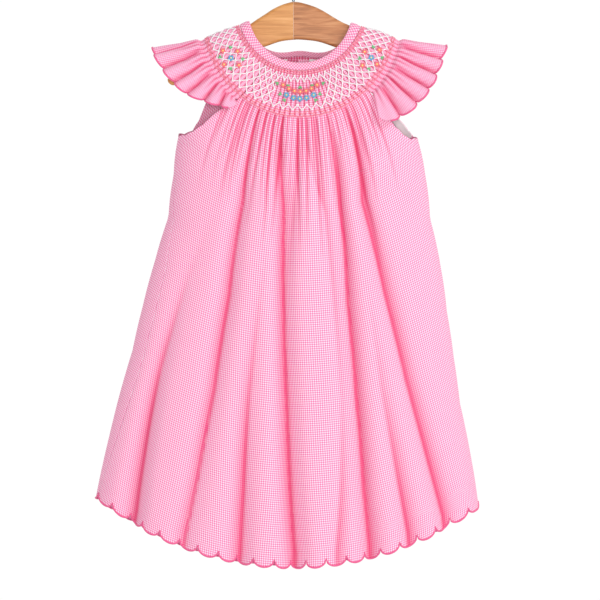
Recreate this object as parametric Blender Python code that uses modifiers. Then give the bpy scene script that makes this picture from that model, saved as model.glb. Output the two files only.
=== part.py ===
"""Smocked bishop dress on its wooden hanger, as closed solids in metres, +Z up and the front towards -Y."""

import math

import bmesh
import bpy
import numpy as np
from mathutils import Vector

MM = 0.001

# Hook and hanger, in millimetres. The hook's inner top is the origin.
HOOK_WIRE = 3.0
HOOK_TO_HANGER = 58.0
HANGER_THICKNESS = 10.0
HANGER_ROUNDING = 3.5
SEAM_GAP = 0.4

# Neck centre, about which every ring of the dress fans out, from the hanger's apex.
NECK_RIGHT_OF_HOOK = 7.0
NECK_BELOW_APEX = 19.7

# Cloth, in millimetres.
CLOTH = 1.7
PLEAT_RAISE = 1.1
NECK_EDGE = 53.9
YOKE_EDGE = 107.0
UNDERARM = 176.0
HEM_RADIUS = 575.0
HEM_SCALLOP_DEPTH = 8.5
SLEEVE_SCALLOP_DEPTH = 4.5

# Counts that the photograph shows.
FRONT_PLEATS = 26
BACK_PLEATS_EACH = 12
SLEEVE_PLEATS = 30
HEM_SCALLOPS_FRONT = 22
HEM_SCALLOPS_BACK_EACH = 11
SLEEVE_SCALLOPS = 12

# Rings of the body. Radius is from the neck centre, left and right are the outline's angles from
# straight down, front and back are how far the ring stands off the hanger's plane, square flattens
# its shoulders, side_rise lifts its sides as a share of the radius, back_rise lifts its back.
RING_COLUMNS = ("radius", "left", "right", "front", "back", "square", "side_rise", "back_rise")
BODY_RINGS = (
    (44.0, -88.2, 86.2, 16.0, 16.0, 0.22, -0.17, 14.0),
    (53.0, -83.4, 82.3, 19.0, 19.0, 0.20, -0.19, 14.0),
    (60.0, -82.6, 81.6, 21.5, 21.0, 0.15, -0.15, 14.0),
    (80.0, -80.5, 80.5, 27.0, 26.0, 0.10, -0.06, 13.0),
    (107.0, -77.5, 77.5, 32.0, 30.0, 0.10, 0.03, 11.0),
    (140.0, -61.0, 60.0, 36.0, 33.0, 0.05, 0.0, 6.0),
    (176.0, -45.9, 44.1, 39.0, 36.0, 0.0, 0.0, 0.0),
    (210.0, -38.9, 38.5, 41.0, 38.0, 0.0, 0.004, 0.0),
    (250.0, -33.5, 33.0, 42.0, 40.0, 0.0, 0.009, 0.0),
    (300.0, -30.8, 29.6, 44.0, 42.0, 0.0, 0.0155, 0.0),
    (350.0, -28.6, 26.5, 46.0, 44.0, 0.0, 0.0218, 0.0),
    (400.0, -26.7, 24.3, 48.0, 46.0, 0.0, 0.028, 0.0),
    (450.0, -25.6, 22.5, 50.0, 48.0, 0.0, 0.034, 0.0),
    (500.0, -24.5, 21.5, 52.0, 50.0, 0.0, 0.0406, 0.0),
    (545.0, -23.6, 20.6, 54.0, 52.0, 0.0, 0.0462, 0.0),
    (575.0, -23.0, 19.95, 55.0, 53.0, 0.0, 0.05, 0.0),
)
SLEEVE_RINGS = BODY_RINGS[:5] + (
    (130.0, -76.3, 77.0, 38.0, 36.0, 0.08, 0.02, 11.0),
    (165.0, -76.3, 77.4, 45.0, 43.0, 0.06, 0.0, 11.0),
)

# Where the panels end, in degrees of turn from the front centre or from the back centre.
EDGE_COLUMNS = ("radius", "front_left", "front_right", "back_left", "back_right")
EDGES = (
    (44.0, 20.0, 23.0, 20.5, 22.0),
    (107.0, 24.9, 29.5, 29.0, 29.5),
    (116.0, 28.0, 32.2, 35.0, 33.5),
    (132.0, 36.8, 37.4, 45.5, 42.5),
    (150.0, 46.3, 46.4, 50.8, 52.5),
    (162.0, 56.0, 55.2, 57.5, 61.5),
    (170.0, 66.5, 65.2, 69.0, 70.5),
    (176.0, 84.6, 90.0, 95.4, 90.0),
    (210.0, 79.1, 90.0, 100.9, 90.0),
    (250.0, 73.3, 90.0, 106.7, 90.0),
    (300.0, 66.0, 90.0, 114.0, 90.0),
    (350.0, 65.9, 90.0, 114.1, 90.0),
    (400.0, 67.8, 90.0, 112.2, 90.0),
    (450.0, 69.0, 90.0, 111.0, 90.0),
    (500.0, 73.0, 90.0, 107.0, 90.0),
    (575.0, 83.0, 90.0, 97.0, 90.0),
)

# Valleys of the main folds: angle from straight down and depth, at each of FOLD_RADII.
FOLD_RADII = (115.0, 200.0, 300.0, 400.0, 500.0, 575.0)
FRONT_FOLDS = {
    "left_side": ((-24.0, -24.0, -23.5, -22.2, -20.1, -18.6), (0.0, 0.0, 2.0, 6.0, 10.0, 12.0)),
    "left": ((-23.5, -17.6, -14.6, -13.2, -12.7, -12.6), (2.0, 6.0, 8.0, 7.0, 6.0, 6.0)),
    "left_of_centre": ((-7.0, -8.0, -8.2, -7.8, -6.9, -6.4), (0.0, 0.0, 2.0, 5.0, 9.0, 12.0)),
    "centre": ((-9.3, -4.9, -3.3, -2.0, -1.1, -0.4), (4.0, 9.0, 10.0, 12.0, 14.0, 15.0)),
    "short": ((-1.4, -1.8, -3.0, -3.0, -3.0, -3.0), (3.0, 4.0, 0.0, 0.0, 0.0, 0.0)),
    "right_of_centre": ((2.2, 7.6, 7.1, 6.4, 5.0, 3.8), (2.0, 3.5, 3.0, 2.0, 4.0, 5.0)),
    "right": ((16.6, 12.4, 9.8, 8.7, 7.9, 7.6), (4.0, 8.0, 10.0, 11.0, 12.0, 13.0)),
    "right_panel": ((22.0, 16.0, 14.0, 12.6, 12.2, 12.0), (0.0, 0.0, 1.0, 3.0, 6.0, 8.0)),
    "right_side": ((27.2, 19.4, 17.6, 16.7, 16.5, 16.4), (4.0, 9.0, 8.0, 7.0, 8.0, 9.0)),
}
BACK_FOLDS = {
    "left_side": ((-26.0, -24.0, -21.5, -20.0, -19.0, -18.0), (3.0, 5.0, 7.0, 9.0, 10.0, 11.0)),
    "left": ((-17.0, -15.5, -14.5, -13.6, -13.0, -12.4), (3.0, 7.0, 9.0, 10.0, 11.0, 12.0)),
    "left_of_centre": ((-8.0, -8.0, -7.8, -7.4, -7.0, -6.6), (2.0, 4.0, 7.0, 9.0, 11.0, 12.0)),
    "right_of_centre": ((5.0, 4.6, 4.2, 3.8, 3.6, 3.4), (3.0, 7.0, 9.0, 10.0, 11.0, 12.0)),
    "right": ((14.0, 12.0, 10.8, 9.8, 9.0, 8.6), (3.0, 6.0, 8.0, 10.0, 11.0, 12.0)),
    "right_side": ((25.0, 21.0, 18.0, 16.4, 15.2, 14.4), (3.0, 6.0, 8.0, 9.0, 10.0, 11.0)),
}
FOLD_HALF_WIDTH = (6.0, 10.0, 12.0, 13.0, 13.5, 14.0)

# Fine gathers that run out of the smocking and die away.
GATHER_RADII = (107.0, 112.0, 150.0, 200.0)
GATHER_HEIGHTS = (0.0, 1.0, 0.7, 0.0)

# Length of the sleeve's flutter from the smocking to its edge, at shares of the way round from
# the front seam over the shoulder to the back seam.
FLUTTER_SHARES = (0.0, 0.06, 0.14, 0.25, 0.375, 0.5, 0.625, 0.75, 0.86, 0.94, 1.0)
FLUTTER_LEFT = (8.0, 17.0, 25.0, 38.0, 46.0, 52.0, 47.0, 40.0, 27.0, 14.0, 6.0)
FLUTTER_RIGHT = (30.0, 40.0, 46.0, 49.0, 49.0, 50.0, 48.0, 44.0, 34.0, 18.0, 6.0)
FLUTTER_STEPS = (0.12, 0.38, 0.68)
FLUTTER_LIFT = 3.0
FLUTTER_WAVE = 5.5
# How far the flutter's front end swings forward over the armhole, in degrees, at its edge.
FLUTTER_SWING = {-1: 1.5, 1: 4.0}

YOKE_RADII = (NECK_EDGE, 60.5, 69.0, 78.0, 87.0, 96.0, 105.0)
INNER_YOKE_RADII = (NECK_EDGE, 79.0, 105.0)
SKIRT_RADII = (112.0, 126.0, 144.0, 161.0, UNDERARM, 220.0, 285.0, 365.0, 460.0, 560.0)

# Hanger outlines: distance from the joint and height below the apex, in millimetres.
HANGER_LEFT_OUTLINE = (
    (0.0, 0.0), (7.8, 1.7), (15.1, 4.4), (22.5, 8.2), (29.2, 12.7), (38.7, 18.7), (47.9, 25.0),
    (71.8, 39.2), (92.8, 52.3), (113.8, 66.5), (127.5, 75.9), (132.2, 81.2), (130.6, 85.9),
    (124.3, 87.5), (108.6, 80.1), (87.6, 69.6), (61.3, 58.1), (45.6, 52.3), (30.9, 47.5),
    (14.1, 41.8), (0.0, 39.9),
)
HANGER_RIGHT_OUTLINE = (
    (0.0, 0.0), (5.9, 0.4), (11.8, 1.8), (18.8, 3.9), (25.7, 6.6), (33.6, 10.9), (42.2, 16.2),
    (51.3, 21.4), (60.5, 25.7), (84.6, 39.7), (105.6, 52.3), (126.6, 65.9), (140.3, 75.4),
    (144.5, 80.6), (143.4, 85.9), (137.1, 87.5), (121.4, 80.1), (100.4, 69.6), (74.1, 58.1),
    (59.4, 52.8), (44.7, 48.0), (25.8, 41.8), (6.9, 39.7), (0.0, 39.9),
)

# Small pieces, in millimetres.
PATCH_THICKNESS = 1.1
PATCH_GAP = 0.4
BUTTON_RADIUS = 5.5
BUTTON_THICKNESS = 2.4
BUTTON_RADII = (62.0, 79.0, 96.0)

COLOURS = {
    "gingham_front": (0.93, 0.42, 0.60),
    "gingham_back": (0.90, 0.38, 0.57),
    "gingham_sleeve": (0.94, 0.45, 0.62),
    "gingham_binding": (0.88, 0.30, 0.50),
    "white_cotton": (0.90, 0.89, 0.88),
    "button": (0.92, 0.80, 0.84),
    "pale_wood": (0.72, 0.45, 0.22),
    "tan_wood": (0.58, 0.34, 0.16),
    "steel": (0.55, 0.57, 0.60),
}


def clear_scene():
    """Empties the startup scene."""
    for thing in list(bpy.data.objects):
        bpy.data.objects.remove(thing, do_unlink=True)


def column(columns, rows, name):
    """One named column of a table, as an array."""
    place = columns.index(name)
    return np.array([row[place] for row in rows])


def ring_value(rings, name, radius):
    """A ring table's column at any radius."""
    return np.interp(radius, column(RING_COLUMNS, rings, "radius"), column(RING_COLUMNS, rings, name))


def edge_turn(name, radius):
    """Where a panel ends at a radius, in degrees of turn."""
    return np.interp(radius, column(EDGE_COLUMNS, EDGES, "radius"), column(EDGE_COLUMNS, EDGES, name))


def angle_at(rings, radius, turn):
    """Angle from straight down, in degrees, and how far across the ring the point is, -1 to 1."""
    eased = turn + ring_value(rings, "square", radius) * np.sin(2 * turn)
    across = np.sin(eased)
    left = ring_value(rings, "left", radius)
    right = ring_value(rings, "right", radius)
    return (left + right) / 2 + (right - left) / 2 * across, across


def base_points(rings, radius, turn):
    """Points of the smooth ring surface, in millimetres."""
    radius = np.broadcast_to(radius, np.shape(turn)).astype(float)
    angle, across = angle_at(rings, radius, turn)
    angle = np.radians(angle)
    facing = np.cos(turn)
    depth = np.where(facing > 0, ring_value(rings, "front", radius), ring_value(rings, "back", radius))
    reach = radius * (1 - ring_value(rings, "side_rise", radius) * across**2)
    reach = reach - np.where(facing < 0, ring_value(rings, "back_rise", radius) * np.cos(angle) ** 4, 0)
    x = NECK_RIGHT_OF_HOOK + reach * np.sin(angle)
    y = -depth * facing
    z = -HOOK_TO_HANGER - NECK_BELOW_APEX - reach * np.cos(angle)
    return np.stack([x, y, z], axis=-1)


def outward(rings, radius, turn):
    """Unit normals of the ring surface, away from the wearer."""
    step = 0.5
    down = base_points(rings, radius + step, turn) - base_points(rings, radius - step, turn)
    along = base_points(rings, radius, turn + 0.01) - base_points(rings, radius, turn - 0.01)
    normal = np.cross(down, along)
    return normal / np.linalg.norm(normal, axis=-1, keepdims=True)


def smooth(t):
    """Eases from 0 to 1."""
    t = np.clip(t, 0, 1)
    return t * t * (3 - 2 * t)


def length_along(points):
    """Distance along a line of points."""
    return np.concatenate([[0], np.cumsum(np.linalg.norm(np.diff(points, axis=0), axis=1))])


def fold_height(folds, radius, angle, share, pleats):
    """How far the cloth stands off the ring surface: valleys of the folds and the fine gathers."""
    height = np.zeros(np.shape(angle))
    width = np.interp(radius, FOLD_RADII, FOLD_HALF_WIDTH)
    for angles, depths in folds.values():
        off = np.radians(angle - np.interp(radius, FOLD_RADII, angles)) * radius
        height = height - np.interp(radius, FOLD_RADII, depths) * np.exp(-((off / width) ** 2))
    gather = np.interp(radius, GATHER_RADII, GATHER_HEIGHTS)
    height = height + gather * np.cos(2 * np.pi * pleats * share)
    begins = smooth((radius - YOKE_EDGE) / 40.0)
    folds_only = begins * height + (1 - begins) * gather * np.cos(2 * np.pi * pleats * share)
    return folds_only * smooth(np.minimum(share, 1 - share) / 0.07)


def panel_row(radius, start, end, folds, pleats, shares):
    """Turns and heights of a row's columns, spaced evenly along the folded cloth."""
    turn = np.radians(np.linspace(start, end, 700))
    base = base_points(BODY_RINGS, radius, turn)
    normal = outward(BODY_RINGS, radius, turn)
    run = length_along(base)
    angle, _ = angle_at(BODY_RINGS, radius, turn)
    height = fold_height(folds, radius, angle, run / run[-1], pleats)
    run = length_along(base + normal * height[:, None])
    at = SEAM_GAP / 2 + np.asarray(shares) * (run[-1] - SEAM_GAP)
    return np.interp(at, run, turn), np.interp(at, run, height)


def lifted(rings, radius, turn, height):
    """Points that stand off the ring surface by a height."""
    away = outward(rings, radius, turn)
    return base_points(rings, radius, turn) + away * np.asarray(height)[..., None]


def pleat_shares(pleats, row):
    """Ridge and valley columns of the smocking. Ridges lean to one neighbour, then to the other."""
    shares = [0.0]
    for pleat in range(pleats):
        lean = 0.16 if (pleat + row) % 2 == 0 else -0.16
        shares.append((pleat + 0.5 + lean) / pleats)
        shares.append((pleat + 1.0) / pleats)
    return np.array(shares)


def yoke_rows(rings, starts, ends, pleats):
    """Outer and inner rows of a smocked part. Each row is its shares and its points."""
    outer = []
    inner = []
    for row, radius in enumerate(YOKE_RADII):
        shares = pleat_shares(pleats, row)
        turn, height = plain_row(rings, radius, starts(radius), ends(radius), shares)
        raise_by = np.where(np.arange(len(shares)) % 2 == 1, PLEAT_RAISE, 0.0)
        if row in (0, len(YOKE_RADII) - 1):
            raise_by = raise_by * 0.5
        outer.append((shares, lifted(rings, radius, turn, CLOTH + raise_by)))
    for radius in INNER_YOKE_RADII:
        shares = np.linspace(0, 1, pleats + 1)
        turn, height = plain_row(rings, radius, starts(radius), ends(radius), shares)
        inner.append((shares, lifted(rings, radius, turn, height)))
    return outer, inner


def plain_row(rings, radius, start, end, shares):
    """Turns of columns spaced evenly along the smooth ring."""
    turn = np.radians(np.linspace(start, end, 500))
    run = length_along(base_points(rings, radius, turn))
    at = SEAM_GAP / 2 + np.asarray(shares) * (run[-1] - SEAM_GAP)
    found = np.interp(at, run, turn)
    return found, np.zeros(len(found))


def scallop_shape(count):
    """How far down a scalloped edge hangs at four columns a scallop, 0 in a notch and 1 at the middle."""
    within = (np.arange(4 * count + 1) % 4) / 4.0
    return np.sqrt(np.maximum(0, 1 - (2 * within - 1) ** 2))


def panel(starts, ends, folds, pleats, scallops):
    """Outer and inner rows of a body panel, from the neck to the scalloped hem."""
    outer, inner = yoke_rows(BODY_RINGS, starts, ends, pleats)
    shares = np.linspace(0, 1, 4 * scallops + 1)
    for radius in SKIRT_RADII:
        turn, height = panel_row(radius, starts(radius), ends(radius), folds, pleats, shares)
        outer.append((shares, lifted(BODY_RINGS, radius, turn, height + CLOTH)))
        inner.append((shares, lifted(BODY_RINGS, radius, turn, height)))
    hem = HEM_RADIUS - HEM_SCALLOP_DEPTH * (1 - scallop_shape(scallops))
    outer.append((shares, lifted(BODY_RINGS, hem, turn, height + CLOTH)))
    inner.append((shares, lifted(BODY_RINGS, hem, turn, height)))
    return outer, inner


def sleeve(side, lengths):
    """Outer and inner rows of a sleeve: smocked over the shoulder, then a flutter of scalloped petals."""
    front_edge = "front_right" if side > 0 else "front_left"
    back_edge = "back_right" if side > 0 else "back_left"

    def starts(radius):
        return side * edge_turn(front_edge, radius)

    def ends(radius):
        return side * (180 - edge_turn(back_edge, radius))

    outer, inner = yoke_rows(SLEEVE_RINGS, starts, ends, SLEEVE_PLEATS)
    count = 4 * SLEEVE_SCALLOPS + 1
    shares = np.linspace(0, 1, count)
    first = starts(YOKE_EDGE) + side * 0.9
    last = ends(YOKE_EDGE) - side * 0.9
    turn, _ = plain_row(SLEEVE_RINGS, YOKE_EDGE, first, last, shares)
    length = np.interp(shares, FLUTTER_SHARES, lengths)
    petals = 2 * np.sin(np.pi * ((np.arange(count) % 4) / 4.0)) ** 0.7 - 1
    ends_fade = smooth(np.minimum(shares, 1 - shares) / 0.08)
    swing = side * np.radians(FLUTTER_SWING[side]) * (1 - smooth(shares / 0.25))
    for step in FLUTTER_STEPS:
        radius = YOKE_EDGE + 1.0 + step * (length - SLEEVE_SCALLOP_DEPTH * 0.7)
        wave = FLUTTER_WAVE * step**0.8 * petals * ends_fade
        height = FLUTTER_LIFT * smooth(step * length / 6.0) + wave
        outer.append((shares, lifted(SLEEVE_RINGS, radius, turn - swing * step, height + CLOTH)))
        inner.append((shares, lifted(SLEEVE_RINGS, radius, turn - swing * step, height)))
    edge = length - SLEEVE_SCALLOP_DEPTH * np.minimum(1, length / 12.0) * (1 - scallop_shape(SLEEVE_SCALLOPS))
    radius = YOKE_EDGE + 1.0 + edge
    height = FLUTTER_LIFT * smooth(length / 6.0) + FLUTTER_WAVE * petals * ends_fade
    outer.append((shares, lifted(SLEEVE_RINGS, radius, turn - swing, height + CLOTH)))
    inner.append((shares, lifted(SLEEVE_RINGS, radius, turn - swing, height)))
    return outer, inner


def bridge(faces, first, first_at, second, second_at):
    """Triangles between two lines of points that may have unlike counts."""
    i = 0
    j = 0
    while i < len(first) - 1 or j < len(second) - 1:
        first_next = first_at[i] + first_at[i + 1] if i < len(first) - 1 else math.inf
        second_next = second_at[j] + second_at[j + 1] if j < len(second) - 1 else math.inf
        if first_next <= second_next:
            faces.append((first[i], second[j], first[i + 1]))
            i += 1
        else:
            faces.append((first[i], second[j], second[j + 1]))
            j += 1


def material_for(name, finish):
    """A material of one sub-part."""
    made = bpy.data.materials.new(name)
    made.use_nodes = True
    shader = made.node_tree.nodes["Principled BSDF"]
    shader.inputs["Base Color"].default_value = (*COLOURS[finish], 1.0)
    shader.inputs["Roughness"].default_value = 0.3 if finish == "steel" else 0.8
    shader.inputs["Metallic"].default_value = 1.0 if finish == "steel" else 0.0
    return made


def add_object(name, data, finish, smooth_faces=True):
    """Puts an object in the dress's collection with its own material."""
    thing = bpy.data.objects.new(name, data)
    bpy.data.collections["smocked_dress"].objects.link(thing)
    data.materials.append(material_for(name, finish))
    if smooth_faces and hasattr(data, "polygons"):
        data.polygons.foreach_set("use_smooth", [True] * len(data.polygons))
    return thing


def add_faces(name, points, faces, finish):
    """A closed body from points in millimetres and its faces."""
    mesh = bpy.data.meshes.new(name)
    body = bmesh.new()
    made = [body.verts.new(Vector(point) * MM) for point in points]
    for face in faces:
        body.faces.new([made[k] for k in face])
    bmesh.ops.recalc_face_normals(body, faces=body.faces)
    body.to_mesh(mesh)
    body.free()
    return add_object(name, mesh, finish)


def add_wall(name, outer, inner, finish):
    """A cloth wall between its outer and its inner rows, closed along all four edges."""
    points = []
    sides = []
    faces = []
    for rows in (outer, inner):
        numbered = []
        for shares, row in rows:
            numbered.append((list(range(len(points), len(points) + len(row))), list(shares)))
            points.extend(row)
        for upper, lower in zip(numbered, numbered[1:]):
            bridge(faces, upper[0], upper[1], lower[0], lower[1])
        sides.append(numbered)
    for end in (0, -1):
        bridge(faces, sides[0][end][0], sides[0][end][1], sides[1][end][0], sides[1][end][1])
    for end in (0, -1):
        lines = []
        for numbered, rows in zip(sides, (outer, inner)):
            line = [ids[end] for ids, _ in numbered]
            run = length_along(np.array([row[end] for _, row in rows]))
            lines.append((line, list(run / run[-1])))
        bridge(faces, lines[0][0], lines[0][1], lines[1][0], lines[1][1])
    return add_faces(name, points, faces, finish)


def add_patch(name, radii, edges, height, finish, columns=6):
    """A thin strip made from a back panel's points and moved in from it. Edges are across, in mm."""
    outer = []
    inner = []
    shares = np.linspace(0, 1, columns + 1)
    for radius, (left, right) in zip(radii, edges):
        turn = np.radians(np.linspace(100, 260, 1200))
        base = base_points(BODY_RINGS, radius, turn)
        wanted = NECK_RIGHT_OF_HOOK + left + shares * (right - left)
        found = np.interp(-wanted, -base[:, 0], turn)
        low = np.full(len(shares), height - PATCH_THICKNESS)
        outer.append((shares, lifted(BODY_RINGS, radius, found, low + PATCH_THICKNESS)))
        inner.append((shares, lifted(BODY_RINGS, radius, found, low)))
    return add_wall(name, outer, inner, finish)


def add_dress():
    """The sewn pieces."""

    def front_start(radius):
        return -edge_turn("front_left", radius)

    def front_end(radius):
        return edge_turn("front_right", radius)

    def back_right_start(radius):
        return 180 - edge_turn("back_right", radius)

    def back_left_end(radius):
        return 180 + edge_turn("back_left", radius)

    def middle(_radius):
        return 180.0

    outer, inner = panel(front_start, front_end, FRONT_FOLDS, FRONT_PLEATS, HEM_SCALLOPS_FRONT)
    add_wall("front", outer, inner, "gingham_front")
    outer, inner = panel(back_right_start, middle, BACK_FOLDS, BACK_PLEATS_EACH, HEM_SCALLOPS_BACK_EACH)
    add_wall("back_right", outer, inner, "gingham_back")
    outer, inner = panel(middle, back_left_end, BACK_FOLDS, BACK_PLEATS_EACH, HEM_SCALLOPS_BACK_EACH)
    add_wall("back_left", outer, inner, "gingham_back")
    outer, inner = sleeve(1, FLUTTER_RIGHT)
    add_wall("sleeve_right", outer, inner, "gingham_sleeve")
    outer, inner = sleeve(-1, FLUTTER_LEFT)
    add_wall("sleeve_left", outer, inner, "gingham_sleeve")


# Section of the folded neck binding: radius from the neck centre and height off the ring surface.
BINDING_SECTION = (
    (45.0, 0.8), (45.8, -0.6), (49.4, -0.9), (53.0, -0.7), (53.5, 0.8), (53.0, 2.6), (49.4, 3.0), (45.8, 2.4),
)
BINDING_STEPS = 60


def add_binding():
    """The bias strip folded over the neck edge, a ring with a slit at centre back."""
    slit = 0.6
    turn = np.radians(np.linspace(180 + slit, 540 - slit, 1500))
    run = length_along(base_points(BODY_RINGS, 49.0, turn))
    turn = np.interp(np.linspace(0, run[-1], BINDING_STEPS + 1), run, turn)
    lines = []
    for radius, height in BINDING_SECTION:
        lines.append(lifted(BODY_RINGS, radius, turn, np.full(len(turn), height)))
    around = len(BINDING_SECTION)
    points = [lines[k][step] for step in range(BINDING_STEPS + 1) for k in range(around)]
    faces = []
    for step in range(BINDING_STEPS):
        for k in range(around):
            here = step * around
            after = (k + 1) % around
            faces.append((here + k, here + after, here + around + after, here + around + k))
    faces.append(tuple(range(around)))
    faces.append(tuple(BINDING_STEPS * around + k for k in range(around)))
    add_faces("neck_binding", points, faces, "gingham_binding")


FACING_RADII = (126.0, 144.0, 161.0)
FACING_COLUMNS = 4


def add_facing():
    """The white facing inside the right armhole, made from the back panel's own columns and moved in."""
    outer = []
    inner = []
    shares = np.linspace(0, 1, 4 * HEM_SCALLOPS_BACK_EACH + 1)
    for radius in FACING_RADII:
        start = 180 - edge_turn("back_right", radius)
        turn, height = panel_row(radius, start, 180.0, BACK_FOLDS, BACK_PLEATS_EACH, shares)
        turn = turn[:FACING_COLUMNS]
        height = height[:FACING_COLUMNS] - PATCH_GAP
        outer.append((shares[:FACING_COLUMNS], lifted(BODY_RINGS, radius, turn, height)))
        inner.append((shares[:FACING_COLUMNS], lifted(BODY_RINGS, radius, turn, height - PATCH_THICKNESS)))
    add_wall("armhole_facing_right", outer, inner, "white_cotton")


def add_small_pieces():
    """Placket, labels, armhole facing and buttons."""
    height = -PATCH_GAP
    placket_radii = (54.6, 67.0, 80.0, 93.0, 104.0)
    add_patch("back_placket", placket_radii, ((-2.6, 9.0),) * 5, height, "white_cotton", 4)
    label_radii = (54.6, 58.5, 62.5)
    add_patch("label_right", label_radii, ((9.6, 34.0), (9.6, 33.0), (9.6, 31.0)), height, "white_cotton", 6)
    add_patch("label_left", label_radii, ((-28.0, -13.5), (-27.0, -15.0), (-24.0, -17.0)), height, "white_cotton", 4)
    add_facing()
    for number, radius in enumerate(BUTTON_RADII, 1):
        turn = np.array([math.pi])
        stand = CLOTH + PLEAT_RAISE + PATCH_GAP + BUTTON_THICKNESS / 2
        centre = lifted(BODY_RINGS, radius, turn, np.array([stand]))[0]
        away = outward(BODY_RINGS, radius, turn)[0]
        add_button("button_%d" % number, Vector(centre) * MM, Vector(away))


def add_button(name, centre, away):
    """A small round button with eased edges."""
    mesh = bpy.data.meshes.new(name)
    body = bmesh.new()
    bmesh.ops.create_cone(
        body, cap_ends=True, segments=18, radius1=BUTTON_RADIUS * MM, radius2=BUTTON_RADIUS * MM,
        depth=BUTTON_THICKNESS * MM,
    )
    body.to_mesh(mesh)
    body.free()
    button = add_object(name, mesh, "button")
    button.location = centre
    button.rotation_euler = away.to_track_quat("Z", "Y").to_euler()
    edge = button.modifiers.new("Eased edge", "BEVEL")
    edge.width = 0.6 * MM
    edge.segments = 1


def add_hanger_half(name, side, outline, finish):
    """One glued half of the hanger: its outline, extruded, with rounded edges."""
    shape = bpy.data.curves.new(name, "CURVE")
    shape.dimensions = "2D"
    shape.fill_mode = "BOTH"
    shape.extrude = (HANGER_THICKNESS / 2 - HANGER_ROUNDING) * MM
    shape.bevel_depth = HANGER_ROUNDING * MM
    shape.bevel_resolution = 2
    shape.offset = -HANGER_ROUNDING * MM
    line = shape.splines.new("POLY")
    line.points.add(len(outline) - 1)
    for point, (across, down) in zip(line.points, outline):
        joint = SEAM_GAP / 2
        point.co = (side * (max(across, 0.0) + joint) * MM, -down * MM, 0.0, 1.0)
    line.use_cyclic_u = True
    half = add_object(name, shape, finish, False)
    half.rotation_euler = (math.pi / 2, 0.0, 0.0)
    half.location = (0.0, 0.0, -HOOK_TO_HANGER * MM)
    weld = half.modifiers.new("Weld", "WELD")
    weld.merge_threshold = 0.00001


# Hook line, from the hanger up and round: across and below the inner top.
HOOK_LINE = (
    (0.0, -57.7), (0.0, -50.5), (0.6, -45.0), (4.5, -41.2), (10.5, -37.4), (16.0, -32.2), (19.4, -26.0),
    (20.5, -19.0), (19.0, -11.2), (14.6, -4.6), (7.9, -0.1), (0.0, 1.5), (-7.9, -0.1), (-14.6, -4.6),
    (-19.0, -11.2), (-20.5, -19.0), (-19.6, -25.2),
)


def add_hook():
    """Bent steel wire that hangs on a rod or a pin. Its inner top is the origin."""
    wire = bpy.data.curves.new("hook", "CURVE")
    wire.dimensions = "3D"
    wire.bevel_depth = HOOK_WIRE / 2 * MM
    wire.bevel_resolution = 2
    wire.use_fill_caps = True
    line = wire.splines.new("POLY")
    line.points.add(len(HOOK_LINE) - 1)
    for point, (across, up) in zip(line.points, HOOK_LINE):
        point.co = (across * MM, 0.0, up * MM, 1.0)
    hook = add_object("hook", wire, "steel", False)
    weld = hook.modifiers.new("Weld", "WELD")
    weld.merge_threshold = 0.00001


clear_scene()
collection = bpy.data.collections.new("smocked_dress")
bpy.context.scene.collection.children.link(collection)
add_dress()
add_binding()
add_small_pieces()
add_hanger_half("hanger_left", -1, HANGER_LEFT_OUTLINE, "pale_wood")
add_hanger_half("hanger_right", 1, HANGER_RIGHT_OUTLINE, "tan_wood")
add_hook()
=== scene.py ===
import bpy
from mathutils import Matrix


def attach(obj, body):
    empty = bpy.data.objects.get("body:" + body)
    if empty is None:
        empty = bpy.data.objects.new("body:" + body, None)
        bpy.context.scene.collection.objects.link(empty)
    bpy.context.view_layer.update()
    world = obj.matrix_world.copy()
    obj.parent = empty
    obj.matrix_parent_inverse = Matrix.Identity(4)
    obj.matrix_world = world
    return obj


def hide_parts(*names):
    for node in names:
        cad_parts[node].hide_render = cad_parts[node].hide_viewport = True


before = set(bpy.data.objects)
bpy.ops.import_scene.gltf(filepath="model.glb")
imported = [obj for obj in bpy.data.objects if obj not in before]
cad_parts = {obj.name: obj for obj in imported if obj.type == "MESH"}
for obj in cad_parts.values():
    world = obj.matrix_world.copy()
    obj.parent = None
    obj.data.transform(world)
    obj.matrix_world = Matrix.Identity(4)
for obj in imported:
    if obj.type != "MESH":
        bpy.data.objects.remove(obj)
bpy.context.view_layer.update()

import math

import bmesh
import bpy
import numpy as np
from mathutils import Vector

MM = 0.001


# Front and back panels.
# Fine pink and white gingham cotton, pleated into the yoke by smocking and let out below it as a
# gathered skirt that hangs in long folds from the hanger. The hem is cut in scallops.

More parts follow.
